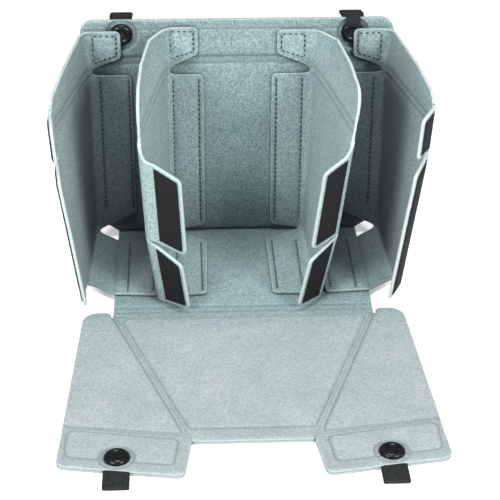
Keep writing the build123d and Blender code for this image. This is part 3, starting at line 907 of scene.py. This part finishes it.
def wall_mesh(name, w):
    """One bent wall with its tabs: the flat drawings mapped into space, welded and rounded at the folds."""
    verts, faces, pinch = [], [], []
    total = 0
    for region, loop, lines, into_space, facing in wall_regions(w):
        flat_points, tris = fill(loop, FELT_STEP, [(line, False) for line in lines])
        space = into_space(flat_points)
        a, b, c = (space[tris[:, k]] for k in range(3))
        if (np.cross(b - a, c - a).sum(0) @ np.array(facing)) < 0:
            tris = tris[:, ::-1]
        close = np.min([distance(flat_points, line, False) for line in lines], axis=0)
        deep = 0.40 if region == "wall" else 0.34
        verts.append(space)
        faces.append(tris + total)
        pinch.append(deep * np.exp(-close ** 2))
        total += len(space)
    verts, faces, pinch = np.concatenate(verts), np.concatenate(faces), np.concatenate(pinch)
    # Shifted, so that no shared crease lies on the border of two cells
    cells = np.round(verts / WELD + 0.123).astype(np.int64)
    _, keep, where = np.unique(cells, axis=0, return_index=True, return_inverse=True)
    verts, pinch, faces = verts[keep], pinch[keep], where.reshape(-1)[faces]
    half = WALL / 2
    zs = np.linspace(half, w.get("tall", TAB_TOP), 60)
    back_crease = np.column_stack([back_x(w, zs), np.full(len(zs), -half), zs])
    ys = np.linspace(-half, w["floor"][-1][1], 40)
    floor_crease = np.column_stack([wall_x(w, ys, np.full(len(ys), half)), ys, np.full(len(ys), half)])
    front_notch = w["front"][3][1:]
    gy = np.linspace(-half, front_notch[0], 40)
    gz = np.linspace(NOTCH_Z, front_notch[1], 40)
    gusset = np.column_stack([wall_x(w, gy, gz), gy, gz])
    weight = np.maximum(ease(1.25 - distance(verts, back_crease, False) / 8.0),
                        ease(1.25 - distance(verts, floor_crease, False) / 8.0))
    weight = np.maximum(weight, 0.8 * ease(1.2 - distance(verts, gusset, False) / 9.0))
    verts = relax(verts, faces, weight, 18)
    flat_area = area_of(verts, faces)
    out = normals(verts, faces)
    verts = verts + out * ripple(verts, 0.18)[:, None] * ease((np.abs(verts[:, 1]) - 3) / 4)[:, None]
    to_edge = np.min([distance(verts, verts[loop]) for loop in border(faces)], axis=0)
    margin = 0.22 * (1 - ease((to_edge - 3.0) / 1.6))
    thick = half - pinch - margin
    # Pressed felt along the seams, the gusset lines and the edges, which the material also darkens as painted
    # shade.
    press_and_shade = np.clip(pinch * 2.2 + margin * 0.6, 0, 1)
    top, bottom = verts + out * thick[:, None], verts - out * thick[:, None]
    if w["side"] < 0:
        top, bottom, faces = top * [-1, 1, 1], bottom * [-1, 1, 1], faces[:, ::-1]
    share = 0.6 if name.startswith("outer") else 1.0
    piece = closed_felt(f"wall_{name}", top, bottom, faces, WALL_FELT, press_and_shade,
                        rim_at=lambda p: share * wall_rim(p))
    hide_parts(f"wing_{name}")
    corner = np.array(w["front"][-1])
    deep = float(np.hypot(corner[0] - w["crease"][0], corner[1])) + w["crease"][1] - w["tabs"][1]
    long = w.get("tall", TAB_TOP) + w["crease"][2] - min(p[0] for p in w["floor"])
    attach(piece, "shell")


def front_edge(w, z):
    front = np.array(w["front"])
    return np.array([np.interp(z, front[:, 2], front[:, 0]), np.interp(z, front[:, 2], front[:, 1]), z])


def flange(name, w, level):
    """A flange bent round the wall's front edge, and its hook strip."""
    upper = level == "upper"
    low, high = w["split"][2:] if upper else w["split"][:2]
    fold = radians(w["fold"][0 if upper else 1])
    top_slope, low_slope = w["slopes"][:2] if upper else w["slopes"][2:]
    ends = []
    for z in (low, high):
        edge = front_edge(w, z)
        ahead = unit(np.array([edge[0] - w["crease"][1], edge[1], 0]))
        ends.append(edge + ahead * HINGE_GAP)
    foot, head = ends
    long = float(np.linalg.norm(head - foot))
    rise = (head - foot) / long
    out = np.array([-sin(fold), -cos(fold), 0])
    side = w["side"]
    reach = HINGE_GAP + 0.9
    more = w.get("soft", (0.0, 0.0))[0 if upper else 1]

    def bend(a):
        """Offset from the crease line at a distance past it, round a smooth bend."""
        t = np.clip((a + reach) / (2 * reach + more), 0, 1)[:, None]
        curve = -ahead * reach * (1 - t) ** 2 + ahead * more * t * (1 - t) + out * (reach + more) * t ** 2
        past = np.maximum(a - reach - more, 0)[:, None] * out
        before = np.minimum(a + reach, 0)[:, None] * ahead
        return curve + past + before

    def sheet(points, offset):
        base = foot + points[:, 1][:, None] * rise + bend(points[:, 0])
        facing = unit(np.cross(bend(points[:, 0] + 0.1) - bend(points[:, 0] - 0.1), rise))
        return base - facing * np.reshape(offset, (-1, 1))

    start = -HINGE_GAP - 0.35
    wide = FLANGE_WIDTH + more
    top_edge = [(wide, long - top_slope * wide, 4.5), (start, long)]
    if upper and "crest" in w:
        top_edge[1:] = [(4.6, long - top_slope * 4.6, 7.0), (start, long + w["crest"])]
    outline = rounded([(start, 0), (wide, -low_slope * wide, 3.0), *top_edge])
    flat_points, faces = fill(outline, FELT_STEP)
    wave = ripple(sheet(flat_points, 0), 0.12) * ease(flat_points[:, 0] / 4)
    edge = depth(flat_points, outline)
    half = WALL / 2 - 0.2 * (1 - ease((edge - 1.0) / 1.6)) * (flat_points[:, 0] > 0)
    top, bottom = sheet(flat_points, wave + half), sheet(flat_points, wave - half)
    mirror = np.array([side, 1, 1])
    if side > 0:
        top, bottom, faces = top, bottom, faces[:, ::-1]
    at_wall = foot + start * ahead

    def joined(point):
        along = (point * mirror - foot) @ rise
        return abs(float((point * mirror - at_wall) @ ahead - along * (rise @ ahead))) < 0.3

    piece = closed_felt(f"flange_{name}_{level}_felt", top * mirror, bottom * mirror, faces, WALL_FELT,
                        joined=joined)
    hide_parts(f"flange_{name}_{level}")
    tuple(np.ptp(flat_points, axis=0) / 1000)
    area_of(np.column_stack([flat_points, np.zeros(len(flat_points))]), faces)
    middle = (foot + head) / 2
    tuple(placed((middle - ahead * HINGE_GAP) * mirror))
    tuple(placed((middle + out * HINGE_GAP) * mirror))
    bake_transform(piece)
    hook_strip(name, level, w, long, low_slope, top_slope, sheet, mirror)


def hook_strip(name, level, w, long, low_slope, top_slope, sheet, mirror):
    """A hook tape: a flat selvage round a field of short stiff loops of pile."""
    more = w.get("soft", (0.0, 0.0))[0 if level == "upper" else 1]
    start, stop = STRIP_START + more, FLANGE_WIDTH - STRIP_MARGIN + more
    outline = rounded([(start, STRIP_MARGIN - low_slope * start),
                       (stop, STRIP_MARGIN - low_slope * stop, 1.2),
                       (stop, long - STRIP_MARGIN - top_slope * stop, 2.2),
                       (start, long - STRIP_MARGIN - top_slope * start)], 1.0)
    points, faces = fill(outline, 1.1)
    edge = depth(points, outline)
    pile = ease((edge - 0.7) / 0.7)
    x, y = points[:, 0], points[:, 1]
    bumps = 0.5 + 0.5 * np.sin(x * 2.9) * np.sin(y * 2.7 + np.round(x / 1.1) * 1.3)
    high = WALL / 2 + 0.45 + pile * (0.35 + 0.35 * bumps)
    top, bottom = sheet(points, high), sheet(points, np.full(len(points), WALL / 2 - 0.35))
    if w["side"] > 0:
        faces = faces[:, ::-1]
    piece = closed_felt(f"hook_tape_{name}_{level}", top * mirror, bottom * mirror, faces, HOOKS, lip=0.15)
    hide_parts(f"hook_{name}_{level}")
    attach(piece, f"flange_{name}_{level}")


# Thread

def tube_faces(rings, sides):
    """Faces of a tube of rings of points, with both ends closed."""
    faces = []
    for k in range(rings - 1):
        low, high = k * sides, (k + 1) * sides
        faces += [(low + j, low + (j + 1) % sides, high + (j + 1) % sides, high + j) for j in range(sides)]
    last = (rings - 1) * sides
    return faces + [tuple(reversed(range(sides))), tuple(range(last, last + sides))]


def stitch(a, b, lift):
    """One stitch from a to b as a short bowed capsule, its middle raised by lift."""
    along = unit(b - a)
    up = unit(lift)
    across = np.cross(along, up)
    rings, sides = 5, 6
    points = []
    for k in range(rings):
        t = k / (rings - 1)
        centre = a + (b - a) * t + lift * (0.55 * sin(pi * t))
        radius = THREAD_R * (0.55 + 0.45 * sin(pi * (0.15 + 0.7 * t)))
        points += [centre + radius * (across * cos(q) + up * sin(q)) for q in around(sides)]
    return points, tube_faces(rings, sides)


def stitched(paths, lift, jitter):
    """Stitches along each open path, a little uneven."""
    points, faces = [], []
    for path in paths:
        path = np.array(path, float)
        for a, b in zip(path, path[1:]):
            long = float(np.linalg.norm(b - a))
            count = max(1, round(long / STITCH_PITCH))
            for k in range(count):
                start = a + (b - a) * ((k + 0.5) / count) - unit(b - a) * STITCH_LONG / 2
                wobble = jitter.uniform(-0.12, 0.12, 3)
                p, f = stitch(start + wobble, start + unit(b - a) * STITCH_LONG - wobble, lift)
                faces += [tuple(i + len(points) for i in face) for face in f]
                points += p
    return points, faces


def stitching():
    jitter = np.random.default_rng(7)
    front, floor = -WALL + 0.28, WALL - 0.28
    band, back, ground = [], [], []
    for w in WINGS.values():
        side, (top_tab, long_tab) = w["side"], w["tabs"]
        for s in w["seams"]:
            x = side * (long_tab + s)
            back.append([(x, front, w["tab_low"] + 4), (x, front, LONG_TAB_TOP - 3.2)])
        left, right = (side * (top_tab + s) for s in TOP_SEAMS)
        foot = w["tab_notch"] + 2.2
        head = w.get("tall", TAB_TOP) - 2.8
        band.append([(left, front, foot), (left, front, head), (right, front, head),
                     (right, front, foot - 5.2), (left, front, foot)])
        inner = min(p[0] for p in w["floor"])
        back_y = w["floor"][0][1] - 3
        for s in FLOOR_SEAMS:
            x = side * (inner + s)
            ground.append([(x, FLOOR_SEAM_START, floor), (x, back_y, floor)])
    groups = (("band", band, (0, -0.5, 0)), ("back", back, (0, -0.5, 0)), ("floor", ground, (0, 0, 0.5)))
    for word, paths, lift in groups:
        points, faces = stitched(paths, np.array(lift), jitter)
        piece = new_mesh(f"{word}_tab_stitches", points, faces, THREAD)
        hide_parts(f"stitching_{word}_tabs")
        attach(piece, "shell")


# Webbing and press studs

def ribbon(name, path, node, body=None, blend=None, thick=WEB_THICK, widths=(WEB, WEB)):
    """Woven webbing swept along a path of points in space, as wide as widths says along X."""
    path = dense(path, 0.55, False)
    widths = np.interp(np.linspace(0, 1, len(path)), np.linspace(0, 1, len(widths)), widths)
    along = unit(np.gradient(path, axis=0))
    across = np.array([1.0, 0, 0])
    over = unit(np.cross(across, along))
    columns = 25
    points, faces = [], []
    for k, (centre, wide, normal) in enumerate(zip(path, widths, over)):
        xs = np.linspace(-0.5, 0.5, columns)
        edge = np.sqrt(np.clip(1 - (np.abs(xs) * 2) ** 10, 0.05, 1))
        weave = 0.10 * np.sin(k * 1.15 + (np.arange(columns) % 2) * pi)
        for sign in (1, -1):
            high = (thick / 2 * edge + weave)[:, None] * normal * sign
            points += list(centre + xs[:, None] * wide * across + high)
    row = 2 * columns
    for k in range(len(path) - 1):
        here, there = k * row, (k + 1) * row
        for j in range(columns - 1):
            faces.append((here + j, here + j + 1, there + j + 1, there + j))
            below, beyond = here + columns + j, there + columns + j
            faces.append((below, beyond, beyond + 1, below + 1))
        faces.append((here, there, there + columns, here + columns))
        faces.append((here + columns - 1, here + row - 1, there + row - 1, there + columns - 1))
    for base, flip_end in ((0, True), ((len(path) - 1) * row, False)):
        for j in range(columns - 1):
            quad = (base + j, base + j + 1, base + columns + j + 1, base + columns + j)
            faces.append(quad[::-1] if flip_end else quad)
    piece = new_mesh(name, points, faces, WEBBING)
    tidy_normals(piece)
    if node:
        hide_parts(node)
    if blend:
        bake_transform(piece)
    else:
        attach(piece, body)


def tidy_normals(obj):
    """Turns every face of a closed mesh outwards."""
    mesh = bmesh.new()
    mesh.from_mesh(obj.data)
    bmesh.ops.recalc_face_normals(mesh, faces=mesh.faces)
    mesh.to_mesh(obj.data)
    mesh.free()


def arc(centre, radius, start, stop, x, count=12):
    return [(x, centre[0] + radius * cos(radians(a)), centre[1] + radius * sin(radians(a)))
            for a in np.linspace(start, stop, count)]


def folded_loop(x, root_y, root_z, angle, lead, long=LOOP_LONG):
    """A webbing loop out of a panel's edge, round its end and back. angle is its direction in Y and Z."""
    half = (WEB_LOOP - WEB_THICK) / 2
    reach = long - WEB_LOOP / 2
    direction = np.array([0, cos(radians(angle)), sin(radians(angle))])
    up = np.array([0, -sin(radians(angle)), cos(radians(angle))])
    root = np.array([x, root_y, root_z])
    points = [root + up * half - direction * lead, root + up * half + direction * reach]
    for a in np.linspace(90, -90, 10)[1:-1]:
        points.append(root + direction * (reach + half * cos(radians(a))) + up * half * sin(radians(a)))
    points += [root - up * half + direction * reach, root - up * half - direction * lead]
    return points


def lathe(name, profile, matrix, material, node, body):
    """A turned piece from radius and height pairs."""
    count = 56
    points = []
    for r, z in profile:
        points += [(r * cos(q), r * sin(q), z) for q in around(count)]
    points = [tuple(matrix @ Vector(p)) for p in points]
    piece = new_mesh(name, points, tube_faces(len(profile), count), material)
    tidy_normals(piece)
    if node:
        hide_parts(node)
    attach(piece, body)


def cap_profile(base):
    high, top = CAP_HIGH, base + CAP_HIGH
    stem = [(2.1, -PANEL + 0.3), (2.1, base), (CAP_R - 0.2, base), (CAP_R, base + 0.3)]
    dome = [(CAP_R - 0.05, base + 0.28 * high), (CAP_R - 0.3, base + 0.5 * high),
            (CAP_R - 0.8, base + 0.72 * high), (CAP_R - 1.5, base + 0.88 * high),
            (CAP_R - 2.2, top - 0.06), (CAP_R - 2.8, top)]
    dish = [(4.2, top - 0.15), (3.7, top - 0.45), (3.1, top - 0.7), (2.2, top - 0.86), (1.2, top - 0.93),
            (0.2, top - 0.95)]
    return stem + dome + dish


def socket_profile():
    low = -PANEL
    return [(4.9, low + 0.8), (5.0, low + 0.5), (4.85, low + 0.15), (4.4, low), (3.4, low), (3.0, low + 0.35),
            (2.7, low + 0.5), (2.45, low + 0.35), (2.3, low + 0.1), (2.2, low + 0.4), (0.3, low + 0.45)]


def studs():
    stand = Matrix.Rotation(radians(90), 4, "X")
    for side, word in ((-1, "left"), (1, "right")):
        back = Matrix.Translation((side * STUD_X, 0, STUD_BACK_Z)) @ stand
        leg = Matrix.Translation((side * STUD_X, STUD_LEG_Y, 0))
        first = side < 0
        lathe(f"back_cap_{word}", cap_profile(BACK_WELL), back, CAP,
              "back_stud_caps" if first else None, "shell")
        lathe(f"back_socket_{word}", socket_profile(), back, METAL,
              "back_stud_sockets" if first else None, "shell")
        body = f"flap_leg_{word}"
        lathe(f"leg_cap_{word}", cap_profile(LEG_CAP_BASE), leg, CAP,
              f"leg_stud_cap_{word}", body)
        lathe(f"leg_socket_{word}", socket_profile(), leg, METAL,
              f"leg_stud_socket_{word}", body)


def webbing():
    for side, word in ((-1, "left"), (1, "right")):
        x = side * STUD_X
        z = SKIN_LOW - 0.1
        start, end = placed((x, LEG_LOOP_Y + 1, z)), placed((x, LEG_LOOP_Y - 2.5, z))
        ribbon(f"leg_loop_{word}_webbing", folded_loop(x, LEG_LOOP_Y, z, 180, 3.0, LEG_LOOP_LONG),
               f"leg_webbing_loop_{word}",
               blend=(f"flap_leg_{word}", f"leg_loop_{word}", tuple(start), tuple(end)))
        low = -PANEL + 0.62
        tail = [(x, LEG_LOOP_Y + 2.5, low), (x, STUD_LEG_Y + STRAP_TAIL, low)]
        ribbon(f"leg_strap_{word}", tail, f"leg_webbing_end_{word}", f"flap_leg_{word}", thick=1.0)
        start = placed((x, BACK_LOOP_Y - 0.5, BACK_LOOP_Z))
        end = placed((x, BACK_LOOP_Y + 3, BACK_LOOP_Z))
        ribbon(f"back_loop_{word}_webbing", folded_loop(x, BACK_LOOP_Y, BACK_LOOP_Z, -BACK_LOOP_DROOP, 2.0),
               f"back_webbing_loop_{word}", blend=("shell", f"back_loop_{word}", tuple(start), tuple(end)))
        tail = [(x, PANEL - 0.45, STUD_BACK_Z - STRAP_TAIL), (x, PANEL - 0.45, BACK_TOP - 2.0),
                *arc((PANEL + 0.9, BACK_TOP - 1.6), 1.3, 180, 100, x), (x, BACK_LOOP_Y + 0.8, BACK_LOOP_Z)]
        ribbon(f"back_strap_{word}", tail, "back_webbing_ends" if side < 0 else None, "shell", thick=1.0)
    # Partly webbing and partly painted shadow: a dark, narrowing strip on the front of the back panel above
    # the right stud, where the strap that runs behind the panel shows as shadow.
    neck_and_shadow = [(STUD_X, -0.2, STUD_BACK_Z + 5), (STUD_X, -0.25, BACK_TOP - 2.2),
            *arc((2.2, BACK_TOP - 1.6), 2.4, 180, 90, STUD_X), (STUD_X, BACK_LOOP_Y, BACK_LOOP_Z + 0.9)]
    ribbon("back_neck_and_shadow_right", neck_and_shadow, None, "shell", thick=0.9, widths=(11, 8.5, 8.5, 9.5, 14))


# Whole object

def boards():
    for name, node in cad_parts.items():
        if name.endswith("_board"):
            node.data.materials.clear()
            node.data.materials.append(BOARD)


back_panel()
floor_panel()
flap()
for wing_name, wing in WINGS.items():
    wall_mesh(wing_name, wing)
    for flange_level in ("upper", "lower"):
        flange(wing_name, wing, flange_level)
stitching()
studs()
webbing()
boards()


# Camera, light and floor

PITCH, YAW, ROLL = 29.189, 2.690, 0.275
CAMERA_AT = (-35.024, -938.787, 507.797)

camera_data = bpy.data.cameras.new("camera")
camera_data.lens, camera_data.sensor_width = 108, 36
camera = bpy.data.objects.new("camera", camera_data)
turned = (Matrix.Rotation(-radians(YAW), 4, "Z") @ Matrix.Rotation(radians(90 - PITCH), 4, "X")
          @ Matrix.Rotation(radians(ROLL), 4, "Z"))
camera.matrix_world = Matrix.Translation(Vector(placed(CAMERA_AT))) @ turned
bpy.context.scene.collection.objects.link(camera)
bpy.context.scene.camera = camera


def area_light(name, at, aim, watts):
    """A round soft lamp at a place in metres, aimed at another."""
    data = bpy.data.lights.new(name, "AREA")
    data.shape, data.size, data.energy = "DISK", 0.5, watts
    lamp = bpy.data.objects.new(name, data)
    lamp.location = at
    lamp.rotation_euler = (Vector(aim) - Vector(at)).to_track_quat("-Z", "Y").to_euler()
    bpy.context.scene.collection.objects.link(lamp)


area_light("left_key", (-0.85, -1.05, 0.85), (0, 0, 0.06), 23.5)
area_light("right_key", (0.85, -1.05, 0.85), (0, 0, 0.06), 23.5)
area_light("top", (0.0, -0.25, 1.5), (0, -0.05, 0.0), 17)

world = bpy.data.worlds.new("studio")
world.use_nodes = True
world.node_tree.nodes["Background"].inputs["Color"].default_value = (1, 1, 1, 1)
world.node_tree.nodes["Background"].inputs["Strength"].default_value = 0.2
bpy.context.scene.world = world
bpy.context.scene.view_settings.view_transform = "Standard"

floor_mesh = bpy.data.meshes.new("studio_floor")
SPREAD = 6.0
corners = [(x * SPREAD, y * SPREAD, 0) for x, y in ((-1, -1), (1, -1), (1, 1), (-1, 1))]
floor_mesh.from_pydata(corners, [], [(0, 1, 2, 3)])
floor_mesh.materials.append(plain_material("studio_floor", 0.9))
studio_floor = bpy.data.objects.new("studio_floor", floor_mesh)
bpy.context.scene.collection.objects.link(studio_floor)
